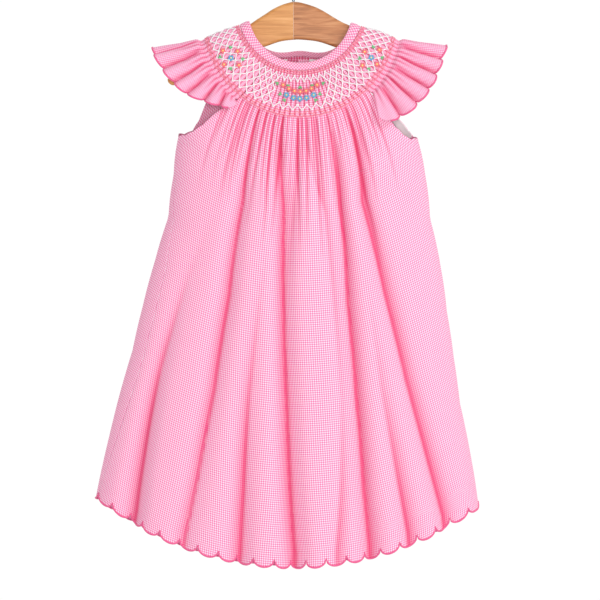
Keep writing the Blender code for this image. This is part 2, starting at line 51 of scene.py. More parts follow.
NECK_CENTRE = (7.0, -77.7)
CLOTH = 1.7
NECK_EDGE, BACK_NECK_EDGE, YOKE_EDGE, UNDERARM = 53.9, 51.4, 108.0, 176.0
HEM_START, HEM_RADIUS, HEM_SCALLOP = 560.0, 575.0, 8.5
GATHER_SPACING, BACK_RIGHT_SEED = 2.62, 9
HIDDEN_IN_FOLD, CREASE_WIDTH = 46.0, 2.4
FRONT_PLEATS, BACK_PLEATS, SLEEVE_PLEATS = 26, 12, 30
FRONT_SCALLOPS, BACK_SCALLOPS, COLUMNS_A_SCALLOP = 22, 11, 14
RING_COLUMNS = ("radius", "left", "right", "front", "back", "square", "side_rise", "back_rise")
BODY_RINGS = np.array((
    (44.0, -88.2, 86.2, 16.0, 16.0, 0.22, -0.17, 14.0),
    (53.0, -83.4, 82.3, 19.0, 19.0, 0.20, -0.19, 14.0),
    (60.0, -82.6, 81.6, 21.5, 21.0, 0.15, -0.15, 14.0),
    (80.0, -80.5, 80.5, 27.0, 26.0, 0.10, -0.06, 13.0),
    (107.0, -77.5, 77.5, 32.0, 30.0, 0.10, 0.03, 11.0),
    (140.0, -61.0, 60.0, 36.0, 33.0, 0.05, 0.0, 6.0),
    (176.0, -45.9, 44.1, 39.0, 36.0, 0.0, 0.0, 0.0),
    (210.0, -38.9, 38.5, 41.0, 38.0, 0.0, 0.004, 0.0),
    (250.0, -33.5, 33.0, 42.0, 40.0, 0.0, 0.009, 0.0),
    (300.0, -30.8, 29.6, 44.0, 42.0, 0.0, 0.0155, 0.0),
    (350.0, -28.6, 26.5, 46.0, 44.0, 0.0, 0.0218, 0.0),
    (400.0, -26.7, 24.3, 48.0, 46.0, 0.0, 0.028, 0.0),
    (450.0, -25.6, 22.5, 50.0, 48.0, 0.0, 0.034, 0.0),
    (500.0, -24.5, 21.5, 52.0, 50.0, 0.0, 0.0406, 0.0),
    (545.0, -23.6, 20.6, 54.0, 52.0, 0.0, 0.0462, 0.0),
    (575.0, -23.0, 19.95, 55.0, 53.0, 0.0, 0.05, 0.0),
))
EDGE_COLUMNS = ("radius", "front_left", "front_right", "back_left", "back_right")
EDGES = np.array((
    (44.0, 20.0, 23.0, 20.5, 22.0),
    (107.0, 24.9, 29.5, 29.0, 29.5),
    (116.0, 28.0, 32.2, 35.0, 33.5),
    (132.0, 36.8, 37.4, 45.5, 42.5),
    (150.0, 46.3, 46.4, 50.8, 52.5),
    (162.0, 56.0, 55.2, 57.5, 61.5),
    (170.0, 66.5, 65.2, 69.0, 70.5),
    (176.0, 84.6, 90.0, 95.4, 90.0),
    (210.0, 79.1, 90.0, 100.9, 90.0),
    (250.0, 73.3, 90.0, 106.7, 90.0),
    (300.0, 66.0, 90.0, 114.0, 90.0),
    (350.0, 65.9, 90.0, 114.1, 90.0),
    (400.0, 67.8, 90.0, 112.2, 90.0),
    (450.0, 69.0, 90.0, 111.0, 90.0),
    (500.0, 73.0, 90.0, 107.0, 90.0),
    (575.0, 83.0, 90.0, 97.0, 90.0),
))
FOLD_RADII = (115.0, 200.0, 300.0, 400.0, 500.0, 575.0)
FOLD_HALF_WIDTH = (6.0, 10.0, 12.0, 13.0, 13.5, 14.0)
FRONT_FOLDS = (
    ((-24.0, -24.0, -23.5, -22.2, -20.1, -18.6), (0.0, 0.0, 2.0, 6.0, 10.0, 12.0)),
    ((-23.5, -17.6, -14.6, -13.2, -12.7, -12.6), (2.0, 6.0, 8.0, 7.0, 6.0, 6.0)),
    ((-7.0, -8.0, -8.2, -7.8, -6.9, -6.4), (0.0, 0.0, 2.0, 5.0, 9.0, 12.0)),
    ((-9.3, -4.9, -3.3, -2.0, -1.1, -0.4), (4.0, 9.0, 10.0, 12.0, 14.0, 15.0)),
    ((-1.4, -1.8, -3.0, -3.0, -3.0, -3.0), (3.0, 4.0, 0.0, 0.0, 0.0, 0.0)),
    ((2.2, 7.6, 7.1, 6.4, 5.0, 3.8), (2.0, 3.5, 3.0, 2.0, 4.0, 5.0)),
    ((16.6, 12.4, 9.8, 8.7, 7.9, 7.6), (4.0, 8.0, 10.0, 11.0, 12.0, 13.0)),
    ((22.0, 16.0, 14.0, 12.6, 12.2, 12.0), (0.0, 0.0, 1.0, 3.0, 6.0, 8.0)),
    ((27.2, 19.4, 17.6, 16.7, 16.5, 16.4), (4.0, 9.0, 8.0, 7.0, 8.0, 9.0)),
)
BACK_FOLDS = (
    ((-26.0, -24.0, -21.5, -20.0, -19.0, -18.0), (3.0, 5.0, 7.0, 9.0, 10.0, 11.0)),
    ((-17.0, -15.5, -14.5, -13.6, -13.0, -12.4), (3.0, 7.0, 9.0, 10.0, 11.0, 12.0)),
    ((-8.0, -8.0, -7.8, -7.4, -7.0, -6.6), (2.0, 4.0, 7.0, 9.0, 11.0, 12.0)),
    ((5.0, 4.6, 4.2, 3.8, 3.6, 3.4), (3.0, 7.0, 9.0, 10.0, 11.0, 12.0)),
    ((14.0, 12.0, 10.8, 9.8, 9.0, 8.6), (3.0, 6.0, 8.0, 10.0, 11.0, 12.0)),
    ((25.0, 21.0, 18.0, 16.4, 15.2, 14.4), (3.0, 6.0, 8.0, 9.0, 10.0, 11.0)),
)
TRELLIS_TOP, HALF_DIAMOND, TRELLIS_LINES = 59.9, 5.97, 6
PLEAT_HEIGHT = 1.5


def ring_value(rings, name, radius):
    return np.interp(radius, rings[:, 0], rings[:, RING_COLUMNS.index(name)])


def edge_turn(name, radius):
    return np.interp(radius, EDGES[:, 0], EDGES[:, EDGE_COLUMNS.index(name)])


def angle_at(rings, radius, turn):
    across = np.sin(turn + ring_value(rings, "square", radius) * np.sin(2 * turn))
    left, right = ring_value(rings, "left", radius), ring_value(rings, "right", radius)
    return (left + right) / 2 + (right - left) / 2 * across, across


def base_points(rings, radius, turn):
    radius = np.broadcast_to(radius, np.shape(turn)).astype(float)
    angle, across = angle_at(rings, radius, turn)
    angle, facing = np.radians(angle), np.cos(turn)
    depth = np.where(facing > 0, ring_value(rings, "front", radius), ring_value(rings, "back", radius))
    reach = radius * (1 - ring_value(rings, "side_rise", radius) * across**2)
    reach = reach - np.where(facing < 0, ring_value(rings, "back_rise", radius) * np.cos(angle) ** 4, 0)
    x, z = NECK_CENTRE[0] + reach * np.sin(angle), NECK_CENTRE[1] - reach * np.cos(angle)
    return np.stack([x, -depth * facing, z], axis=-1)


def outward(rings, radius, turn):
    down = base_points(rings, radius + 0.5, turn) - base_points(rings, radius - 0.5, turn)
    along = base_points(rings, radius, turn + 0.01) - base_points(rings, radius, turn - 0.01)
    normal = np.cross(down, along)
    return normal / np.linalg.norm(normal, axis=-1, keepdims=True)


def lifted(rings, radius, turn, height):
    return base_points(rings, radius, turn) + outward(rings, radius, turn) * np.asarray(height)[..., None]


def smooth(t):
    t = np.clip(t, 0, 1)
    return t * t * (3 - 2 * t)


def run_along(points):
    return np.concatenate([[0], np.cumsum(np.linalg.norm(np.diff(points, axis=0), axis=1))])


def plain_turns(rings, radius, start, end, shares):
    """Turns spaced evenly along the smooth ring."""
    turn = np.radians(np.linspace(start, end, 500))
    run = run_along(base_points(rings, radius, turn))
    return np.interp(shares * run[-1], run, turn)


def hang(radius):
    """How far the threads that fan out of the yoke have turned towards the plumb line, 1 at the yoke."""
    return np.interp(radius, (107, 150, 200, 300, 400, 500, 575), (1, 0.87, 0.74, 0.63, 0.585, 0.555, 0.54))


def fold_lines(folds, radius, angle, share):
    """Height and shade of the main folds. Each crease is sharp on one side and soft on its outer side."""
    height, shade = np.zeros(np.shape(angle)), np.zeros(np.shape(angle))
    width = np.interp(radius, FOLD_RADII, FOLD_HALF_WIDTH)
    for angles, depths in folds:
        depth = np.interp(radius, FOLD_RADII, depths)
        off = np.radians(angle - np.interp(radius, FOLD_RADII, angles)) * radius / width
        height = height - depth * (np.exp(-(off**2)) + 0.3 * np.exp(-((off / 0.36) ** 2)))
        side = np.where(off * np.sign(angles[0] + 0.1) > 0, 0.62, 0.2)
        core = np.exp(-((off / 0.2) ** 2))
        shade = shade + smooth(depth / 8.0) * (0.55 * np.exp(-((off / side) ** 2)) + 0.45 * core)
    begin = smooth((radius - 107.0) / 25.0)
    fade = smooth(np.minimum(share, 1 - share) / 0.07)
    return height * smooth((radius - 107.0) / 40.0) * fade, shade * begin * fade


def gather_lines(radius, angle, strong, seed):
    """Height and shade of the narrow creases that run down out of the smocking. Each has its own depth,
    length and drift, and the strong ones are those that the eye picks out."""
    dice = np.random.default_rng(seed)
    height, shade = np.zeros(np.shape(angle)), np.zeros(np.shape(angle))
    turned = hang(radius)
    width = np.interp(radius, (100.0, 130.0, 260.0), (1.5, 1.9, 3.2))
    lines = [((k + 0.5 + dice.uniform(-0.2, 0.2)) * GATHER_SPACING, dice.uniform(0.7, 2.3),
              dice.uniform(128.0, 215.0)) for k in range(-17, 17)]
    for at, depth, end in [*lines, *strong]:
        drift = dice.uniform(-1.3, 1.3) * smooth((radius - 115.0) / 130.0)
        off = np.radians(angle - (at + drift) * turned) * radius / width
        fade = smooth((radius - 101.0) / 5.0) * (1 - smooth((radius - 112.0) / (end - 112.0)))
        height = height - depth * fade * np.exp(-(off**2))
        lit = np.where(off * np.sign(at) > 0, 0.75, 0.42)
        shade = shade + min(1.0, depth / 2.1) * fade**0.6 * np.exp(-((off / lit) ** 2))
    return height, np.minimum(shade, 1.0)


def across_cloth(folds, radius, run, angle):
    """Distance across the cloth in millimetres. What a deep fold hides makes a jump at its crease, so the
    check hangs straight and true in every panel between two folds."""
    order = np.argsort(angle)
    low, high = angle.min(), angle.max()
    deep = [a for a, d in folds if d[1] >= 6 and (
        low + 3 < np.interp(300, FOLD_RADII, a) < high - 3 or radius < UNDERARM and low < a[0] < high)]
    lines = sorted(np.interp(np.interp(radius, FOLD_RADII, a), angle[order], run[order]) for a in deep)
    between = [(a + b) / 2 for a, b in zip(lines, lines[1:])]
    middles = [lines[0], *between, lines[-1]] if lines else [run[-1] / 2]
    u = run - middles[0]
    for k, line in enumerate(lines):
        u = u + smooth((run - line) / CREASE_WIDTH + 0.5) * (middles[k] - middles[k + 1] + HIDDEN_IN_FOLD)
    return u


def pleat_relief(radius, share, pleats):
    """Rounded pleats of the smocking. The trellis pulls each ridge to one neighbour, then to the other."""
    place = share * pleats
    which = np.minimum(np.floor(place), pleats - 1)
    lean = 0.17 * np.where(which % 2 == 0, 1, -1) * np.cos(np.pi * (radius - TRELLIS_TOP) / HALF_DIAMOND)
    lean = lean * smooth((98.0 - radius) / 6.0)
    off = place - which - 0.5 - lean
    half = np.where(off > 0, 0.5 - lean, 0.5 + lean)
    return PLEAT_HEIGHT * (1 - np.abs(off / half) ** 2.2) - 0.5


def between_pleats(relief):
    """How much painted shade a point gets in the valley between two smocked pleats, 1 at the bottom."""
    return np.clip((0.62 - relief) / 0.95, 0, 1)


def scallop_shape(count):
    within = (np.arange(COLUMNS_A_SCALLOP * count + 1) % COLUMNS_A_SCALLOP) / COLUMNS_A_SCALLOP
    return np.sqrt(np.maximum(0, 1 - (2 * within - 1) ** 2))


def laid_out(folds, radius, start, end, shares, margin):
    """Columns spaced evenly along the folded cloth between two edges: run, turn, height, angle and width."""
    turn = np.radians(np.linspace(start, end, 900))
    base, normal = base_points(BODY_RINGS, radius, turn), outward(BODY_RINGS, radius, turn)
    run = run_along(base)
    angle, _ = angle_at(BODY_RINGS, radius, turn)
    height, _ = fold_lines(folds, radius, angle, run / run[-1])
    run = run_along(base + normal * height[:, None])
    at = margin + shares * (run[-1] - 2 * margin)
    return (at, *(np.interp(at, run, values) for values in (turn, height, angle)), run[-1])


def panel_surface(starts, ends, folds, pleats, strong, scallops, seed):
    """Points, cloth coordinates in millimetres, and how much painted shade each point gets in the folds, the
    gathers and the valleys between the pleats.
    """
    shares = np.linspace(0, 1, COLUMNS_A_SCALLOP * scallops + 1)
    first = NECK_EDGE if pleats == FRONT_PLEATS else BACK_NECK_EDGE
    radii = np.concatenate([
        np.linspace(first, YOKE_EDGE, 60), np.linspace(YOKE_EDGE + 1, UNDERARM + 4, 44),
        np.linspace(UNDERARM + 7, HEM_START, 60)])
    rows, creases, flat = [], [], []
    for radius in radii:
        at, turn, height, angle, width = laid_out(folds, radius, starts(radius), ends(radius), shares, -0.12)
        _, shade = fold_lines(folds, radius, angle, shares)
        own, own_shade = gather_lines(radius, angle, strong, seed)
        yoke = smooth((104.5 - radius) / 4.0)
        relief = yoke * pleat_relief(radius, shares, pleats)
        pleat_shade = yoke * between_pleats(relief)
        rows.append(lifted(BODY_RINGS, radius, turn, height + own + relief + CLOTH))
        # Painted shade in the folds, the gathers and the valleys between the smocked pleats.
        creases.append(np.clip(shade + own_shade + pleat_shade, 0, 1))
        if radius < 102.0:
            across = (shares - 0.5) * (width * 1.35)
        else:
            across = across_cloth(folds, radius, at, angle)
        flat.append(np.stack([across, np.full(len(shares), radius)], axis=-1))
    edge = HEM_RADIUS - HEM_SCALLOP * (1 - scallop_shape(scallops))
    for step in np.linspace(0, 1, 9)[1:]:
        radius = HEM_START + step * (edge - HEM_START)
        rows.append(lifted(BODY_RINGS, radius, turn, height + CLOTH))
        creases.append(creases[-1])
        flat.append(np.stack([across, radius], axis=-1))
    return np.array(rows), np.array(flat), np.array(creases)


def add_mesh(name, points, faces, material, flat=None, crease=None):
    """A mesh from points in millimetres, with cloth coordinates in its UV map, shaded flat at its ends."""
    mesh = bpy.data.meshes.new(name)
    faces = faces if isinstance(faces, list) else faces.tolist()
    mesh.from_pydata((np.asarray(points).reshape(-1, 3) * MM).tolist(), [], faces)
    mesh.polygons.foreach_set("use_smooth", [len(face) < 5 for face in faces])
    corner = np.empty(len(mesh.loops), np.int32)
    mesh.loops.foreach_get("vertex_index", corner)
    if flat is not None:
        layer = mesh.uv_layers.new(name="cloth_mm")
        layer.data.foreach_set("uv", (np.asarray(flat).reshape(-1, 2)[corner] * 0.01).ravel())
    # The crease attribute carries how much painted shade each point gets in its creases and between its
    # pleats.
    if crease is not None:
        layer = mesh.attributes.new("crease", "FLOAT", "POINT")
        layer.data.foreach_set("value", np.asarray(crease, np.float32).ravel())
    thing = bpy.data.objects.new(name, mesh)
    bpy.context.scene.collection.objects.link(thing)
    mesh.materials.append(material)
    return thing


def grid_faces(rows, columns):
    corner = (np.arange(rows - 1)[:, None] * columns + np.arange(columns - 1)[None, :]).ravel()
    return np.stack([corner, corner + columns, corner + columns + 1, corner + 1], axis=-1)


def add_cloth(name, surface, material, thickness=0.45, flip=False):
    points, flat, crease = surface
    faces = grid_faces(*points.shape[:2])
    thing = add_mesh(name, points, faces[:, ::-1] if flip else faces, material, flat, crease)
    wall = thing.modifiers.new("cloth thickness", "SOLIDIFY")
    wall.thickness, wall.offset = thickness * MM, -1.0
    return thing


def colour(text):
    """A linear colour from an sRGB hex."""
    part = [int(text[k : k + 2], 16) / 255 for k in (1, 3, 5)]
    return [c / 12.92 if c < 0.04045 else ((c + 0.055) / 1.055) ** 2.4 for c in part] + [1.0]


def node(tree, kind, settings=(), **inputs):
    """Adds a node, sets its fields, and links or fills its inputs by name or number."""
    made = tree.nodes.new("ShaderNode" + kind)
    for name, value in dict(settings).items():
        setattr(made, name, value)
    for name, value in inputs.items():
        socket = made.inputs[int(name[2:]) if name.startswith("in") else name.replace("_", " ")]
        if isinstance(value, bpy.types.NodeSocket):
            tree.links.new(value, socket)
        else:
            socket.default_value = value
    return made


def new_material(name, roughness=0.85):
    made = bpy.data.materials.new(name)
    made.use_nodes = True
    shader = made.node_tree.nodes["Principled BSDF"]
    shader.inputs["Roughness"].default_value = roughness
    return made, made.node_tree, shader


def ramp(tree, factor, *stops):
    made = node(tree, "ValToRGB", in0=factor)
    while len(made.color_ramp.elements) < len(stops):
        made.color_ramp.elements.new(0.5)
    for element, (place, text) in zip(made.color_ramp.elements, stops):
        element.position, element.color = place, colour(text)
    return made.outputs["Color"]


def gingham(name, white, middle, pink, deep, bias=0.0, repeat=2.3, weft=1.0):
    """Pink and white gingham: warp and weft stripes cross, so a third of it is full pink where both are. The
    crease attribute mixes it towards the deep pink as painted shade.
    """
    made, tree, shader = new_material(name)
    cloth = node(tree, "UVMap", {"uv_map": "cloth_mm"})
    turned = node(tree, "Mapping", in0=cloth.outputs[0], Rotation=(0, 0, bias), Scale=(100 / repeat,) * 3)
    split = node(tree, "SeparateXYZ", in0=turned.outputs[0])
    stripes = []
    for axis in (0, 1):
        turns = node(tree, "Math", {"operation": "MULTIPLY"}, in0=split.outputs[axis], in1=2 * math.pi)
        swing = node(tree, "Math", {"operation": "SINE"}, in0=turns.outputs[0])
        stripes.append(node(tree, "MapRange", {"interpolation_type": "SMOOTHSTEP"},
                            in0=swing.outputs[0], in1=-0.45, in2=0.45).outputs[0])
    soft = node(tree, "MapRange", in0=stripes[1], in3=0.5 - weft / 2, in4=0.5 + weft / 2)
    both = node(tree, "Math", {"operation": "ADD"}, in0=stripes[0], in1=soft.outputs[0])
    half = node(tree, "Math", {"operation": "MULTIPLY"}, in0=both.outputs[0], in1=0.5)
    check = ramp(tree, half.outputs[0], (0.0, white), (0.5, middle), (1.0, pink))
    # Painted shade: the crease attribute mixes the check towards the deep pink, darkening the colour in
    # creases and between pleats.
    crease = node(tree, "Attribute", {"attribute_name": "crease"})
    painted_shade_amount = node(tree, "Math", {"operation": "MULTIPLY"}, in0=crease.outputs["Fac"], in1=0.82)
    shaded = node(tree, "Mix", {"data_type": "RGBA", "blend_type": "MIX"}, in0=painted_shade_amount.outputs[0])
    tree.links.new(check, shaded.inputs[6])
    shaded.inputs[7].default_value = colour(deep)
    tree.links.new(shaded.outputs[2], shader.inputs["Base Color"])
    weave = node(tree, "Mapping", in0=cloth.outputs[0], Scale=(100 / 0.5,) * 3)
    threads = node(tree, "TexNoise", in0=weave.outputs[0], Scale=1.0, Detail=2.0)
    bump = node(tree, "Bump", Strength=0.25, Distance=0.0002, Height=threads.outputs[0])
    tree.links.new(bump.outputs[0], shader.inputs["Normal"])
    shader.inputs["Sheen Weight"].default_value = 0.12
    shader.inputs["Specular IOR Level"].default_value = 0.25
    return made


# White, two stripe pinks, and the deep pink painted as shade in creases and between pleats.
PINKS = ("#FDE4F0", "#F7A8CA", "#EC68A0", "#DC1C62")
dress_cotton = gingham("pink gingham cotton", *PINKS)

# The gathers that stand out: angle at the yoke's edge, depth, and the radius where each has died away.
FRONT_STRONG = ((-31.5, 1.6, 210.0), (-24.2, 3.0, 250.0), (-19.6, 2.4, 230.0), (-14.6, 2.2, 250.0),
                (-9.9, 3.2, 240.0), (-1.2, 3.2, 260.0), (3.2, 2.6, 240.0), (7.8, 2.0, 260.0),
                (15.6, 3.2, 270.0), (26.8, 3.2, 280.0), (31.2, 1.8, 215.0))
BACK_STRONG = ((-27.0, 2.6, 230.0), (-16.0, 3.0, 260.0), (-7.0, 2.6, 240.0), (6.0, 2.8, 250.0),
               (13.0, 2.6, 240.0), (19.0, 2.2, 220.0), (27.5, 2.8, 240.0))
panels = {
    "front": (lambda r: -edge_turn("front_left", r), lambda r: edge_turn("front_right", r),
              FRONT_FOLDS, FRONT_PLEATS, FRONT_STRONG, FRONT_SCALLOPS, 4),
    "back_right": (lambda r: 180 - edge_turn("back_right", r), lambda r: 180.0,
                   BACK_FOLDS, BACK_PLEATS, BACK_STRONG, BACK_SCALLOPS, BACK_RIGHT_SEED),
    "back_left": (lambda r: 180.0, lambda r: 180 + edge_turn("back_left", r),
                  BACK_FOLDS, BACK_PLEATS, BACK_STRONG, BACK_SCALLOPS, 12),
}
hem_lines = {}
sheets = {}
for name, panel in panels.items():
    surface = panel_surface(*panel)
    sheets[name] = add_cloth(name + "_gingham", surface, dress_cotton)
    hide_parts(name)
    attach(sheets[name], "root")
    hem_lines[name] = surface[0][-1]


# Sleeves.
# Smocked over the shoulder with the yoke, then let out in a short flutter that waves and ends in
# twelve small scallops. The same gingham, on the same grain.

SLEEVE_RINGS = np.array([*BODY_RINGS[:5], (130.0, -76.3, 77.0, 38.0, 36.0, 0.08, 0.02, 11.0),
                         (165.0, -76.3, 77.4, 45.0, 43.0, 0.06, 0.0, 11.0)])
SLEEVE_SCALLOPS, SLEEVE_SCALLOP, SLEEVE_YOKE_EDGE = 12, 5.85, 107.0
FLUTTER_SHARES = (0.0, 0.06, 0.14, 0.25, 0.375, 0.5, 0.625, 0.75, 0.86, 0.94, 1.0)
FLUTTERS = {
    -1: (8.0, 17.0, 25.0, 38.0, 46.0, 52.0, 47.0, 40.0, 27.0, 14.0, 6.0),
    1: (30.0, 40.0, 46.0, 49.0, 49.0, 50.0, 48.0, 44.0, 34.0, 18.0, 6.0),
}
FLUTTER_SWING = {-1: 1.5, 1: 4.0}
FLUTTER_LIFT, FLUTTER_WAVE = 3.0, 5.5


def sleeve_surface(side, lengths):
    front, back = ("front_right", "back_right") if side > 0 else ("front_left", "back_left")
    shares = np.linspace(0, 1, COLUMNS_A_SCALLOP * SLEEVE_SCALLOPS + 1)
    rows, creases, flat = [], [], []
    for radius in np.linspace(NECK_EDGE, SLEEVE_YOKE_EDGE, 54):
        turn = plain_turns(SLEEVE_RINGS, radius, side * edge_turn(front, radius),
                           side * (180 - edge_turn(back, radius)), shares)
        relief = pleat_relief(radius, shares, SLEEVE_PLEATS)
        rows.append(lifted(SLEEVE_RINGS, radius, turn, CLOTH + relief))
        # Painted shade in the valleys between the smocked pleats.
        creases.append(between_pleats(relief))
        flat.append(np.stack([(shares - 0.5) * 300.0, np.full(len(shares), radius)], axis=-1))
    first = side * (edge_turn(front, SLEEVE_YOKE_EDGE) + 0.9)
    last = side * (180 - edge_turn(back, SLEEVE_YOKE_EDGE) - 0.9)
    turn = plain_turns(SLEEVE_RINGS, SLEEVE_YOKE_EDGE, first, last, shares)
    length = np.interp(shares, FLUTTER_SHARES, lengths)
    depth = SLEEVE_SCALLOP * np.minimum(1, length / 12.0)
    length = length - depth * (1 - scallop_shape(SLEEVE_SCALLOPS))
    ends = smooth(np.minimum(shares, 1 - shares) / 0.08)
    swing = side * np.radians(FLUTTER_SWING[side]) * (1 - smooth(shares / 0.25))
    place = shares * SLEEVE_SCALLOPS
    which, within = np.floor(place).astype(int) % SLEEVE_SCALLOPS, place % 1
    dice = np.random.default_rng(31 + side)
    full = dice.uniform(0.75, 1.15, SLEEVE_SCALLOPS)[which]
    skew = dice.uniform(0.85, 1.2, SLEEVE_SCALLOPS)[which]
    petal = 2 * np.sin(np.pi * within**skew) ** 0.7 - 1
    valley = np.minimum(within, 1 - within)
    # Painted shade in the cleft between two waves of the flutter.
    painted_cleft_shade = 0.9 * np.exp(-((valley / 0.10) ** 2)) + 0.15 * np.exp(-((valley / 0.25) ** 2))
    drawn = (shares * SLEEVE_PLEATS) % 1
    gather = 1.5 * np.exp(-((np.minimum(drawn, 1 - drawn) / 0.2) ** 2))
    for step in np.linspace(0, 1, 44)[1:]:
        radius = YOKE_EDGE + step * length
        wave = FLUTTER_WAVE * step**0.8 * petal * ends * np.where(petal > 0, full, 1)
        fine = gather * (1 - smooth(step / 0.75)) * smooth((step + 0.04) / 0.05)
        height = FLUTTER_LIFT * smooth(step * length / 6.0) + wave - fine
        rows.append(lifted(SLEEVE_RINGS, radius, turn - swing * step, height + CLOTH))
        opened = smooth(step / 0.25) * (1 - 0.45 * smooth((step - 0.7) / 0.3))
        # Painted shade along the fine gathers and in the clefts between the flutter's waves.
        creases.append(np.clip(fine / 1.7 + painted_cleft_shade * ends * opened, 0, 1))
        flat.append(np.stack([(shares - 0.5) * (230.0 + 110.0 * step), radius], axis=-1))
    return np.array(rows), np.array(flat), np.array(creases)


# Seen along a gathered ruffle, the lengthwise stripes crowd together and the crosswise ones fade.
ruffle_cotton = gingham("gathered gingham cotton", *PINKS, repeat=2.0, weft=0.45)
sleeve_lines = {}
for side, name in ((-1, "sleeve_left"), (1, "sleeve_right")):
    surface = sleeve_surface(side, FLUTTERS[side])
    sheets[name] = add_cloth(name + "_gingham", surface, ruffle_cotton, flip=side < 0)
    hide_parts(name)
    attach(sheets[name], "root")
    sleeve_lines[name] = surface[0][-1]


# Scallop edging.
# Every scalloped edge is closed with a dense hot-pink satin stitch, a raised cord of thread about
# two millimetres wide. Each stitch shows as a fine rib across it.


def tube_mesh(paths, radius, sides, squash):
    """Points, faces and lengthwise coordinates of round threads along paths in millimetres."""
    points, faces, flat = [], [], []
    ring = np.linspace(0, 2 * np.pi, sides, endpoint=False)
    for path in paths:
        path = np.asarray(path, float)
        along = np.gradient(path, axis=0)
        along /= np.linalg.norm(along, axis=1, keepdims=True) + 1e-12
        side = np.cross(along, (0.0, 1.0, 0.13))
        side /= np.linalg.norm(side, axis=1, keepdims=True) + 1e-12
        out = np.cross(side, along)
        run, start = run_along(path), sum(len(p) for p in points)
        body = (path[:, None] + radius * (np.cos(ring)[None, :, None] * side[:, None]
                                          + squash * np.sin(ring)[None, :, None] * out[:, None]))
        points.append(body.reshape(-1, 3))
        flat.append(np.stack([np.repeat(run, sides), np.tile(ring * radius, len(path))], axis=-1))
        for k in range(len(path) - 1):
            a = start + k * sides
            for j in range(sides):
                b = (j + 1) % sides
                faces.append((a + j, a + b, a + sides + b, a + sides + j))
        faces.append(tuple(start + j for j in reversed(range(sides))))
        faces.append(tuple(start + (len(path) - 1) * sides + j for j in range(sides)))
    return np.concatenate(points), faces, np.concatenate(flat)


def add_threads(name, paths, radius, material, sides=6, squash=1.0):
    points, faces, flat = tube_mesh(paths, radius, sides, squash)
    thing = add_mesh(name, points, faces, material, flat)
    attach(thing, "root")
    return thing


def thread(name, light, dark, rib=0.45, slant=0.5):
    """Stranded embroidery cotton: soft ribs across a satin stitch, painted lighter on each rib and darker
    between the ribs as shade, with a low sheen along them.
    """
    made, tree, shader = new_material(name, 0.55)
    cloth = node(tree, "UVMap", {"uv_map": "cloth_mm"})
    turned = node(tree, "Mapping", in0=cloth.outputs[0], Rotation=(0, 0, slant), Scale=(100 / rib,) * 3)
    ribs = node(tree, "TexWave", {"wave_type": "BANDS", "bands_direction": "X"}, in0=turned.outputs[0],
                Scale=0.314)
    # Painted light and shade: the dark tone lies between the ribs, the light one on their tops.
    tone = ramp(tree, ribs.outputs["Fac"], (0.0, dark), (0.6, light))
    tree.links.new(tone, shader.inputs["Base Color"])
    bump = node(tree, "Bump", Strength=0.5, Distance=0.0002, Height=ribs.outputs["Fac"])
    tree.links.new(bump.outputs[0], shader.inputs["Normal"])
    shader.inputs["Sheen Weight"].default_value = 0.2
    return made


# Hot pink, painted lighter on each rib and darker between the ribs as shade, so that the edge reads as
# stitched, not as piping.
edging_thread = thread("hot pink edging thread", "#F56FA2", "#E23A78")
for name, line in {**hem_lines, **sleeve_lines}.items():
    trim = line if name in hem_lines else line[6:-6]
    edging = add_threads(name + "_edging", [trim], 1.0, edging_thread, 8, 0.75)


# Neck binding.
# A bias-cut strip of the gingham folded over the pleated neck edge. Its check runs at 45 degrees,
# and it is a little plump from the pleats inside it. It opens at centre back.

BINDING_SECTION = ((45.0, 0.8), (45.8, -0.6), (49.4, -0.9), (53.0, -0.7),
                   (53.5, 0.8), (53.0, 2.6), (49.4, 3.0), (45.8, 2.4))
BINDING_MIDDLE, PLEAT_PITCH = 49.0, 4.6
BACK_NARROWING, NARROWED_FROM = 2.4, 47.0


def smooth_line(points, between, closed):
    """Extra points on a smooth curve through the given ones."""
    points = np.asarray(points, float)
    count = len(points)
    out = []
    for k in range(count if closed else count - 1):
        pick = [(k + d) % count if closed else min(max(k + d, 0), count - 1) for d in (-1, 0, 1, 2)]
        a, b, c, d = points[pick]
        for t in np.arange(between) / between:
            out.append(0.5 * (2 * b + (c - a) * t + (2 * a - 5 * b + 4 * c - d) * t**2
                              + (3 * b - a - 3 * c + d) * t**3))
    return np.array(out if closed else [*out, points[-1]])


section = smooth_line(BINDING_SECTION, 3, True)
turn = np.radians(np.linspace(180.0, 540.0, 1500))
run = run_along(base_points(BODY_RINGS, BINDING_MIDDLE, turn))
around = np.linspace(0, run[-1], 261)
turn = np.interp(around, run, turn)
ripple = 0.12 * np.sin(around * 2 * np.pi / PLEAT_PITCH)
outer = max(r for r, _ in section)
narrow = BACK_NARROWING * smooth(-np.cos(turn) * 2.2) / (outer - NARROWED_FROM)
lines = [lifted(BODY_RINGS, r - narrow * (r - NARROWED_FROM), turn, h + ripple * (h > 1))
         for r, h in (*section, section[0])]
points = np.array(lines)
across = run_along(np.array([*section, section[0]]))
flat = np.stack(np.meshgrid(around, across), axis=-1)
bias_cotton = gingham("bias gingham binding", "#FBDDEA", "#F5A2C3", "#EA6299", "#D82468", math.pi / 4)
binding = add_mesh("neck_binding_gingham", points, grid_faces(*points.shape[:2]), bias_cotton, flat,
                   np.zeros(points.shape[:2]))
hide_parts("neck_binding")
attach(binding, "root")
for end in (0, -1):
    cap = add_mesh("neck_binding_end_%d" % abs(end), [lines[k][end] for k in range(len(section))],
                   [list(range(len(section)))], bias_cotton, np.zeros((len(section), 2)))
    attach(cap, "root")


# Smocking stitches.
# White stranded cotton worked over the pleats as a trellis of diamonds, three deep, with coral
# cable and wave rows along its top and bottom. The threads stand on the pleats' ridges.

RIDGE_TOP = CLOTH + PLEAT_HEIGHT - 0.5


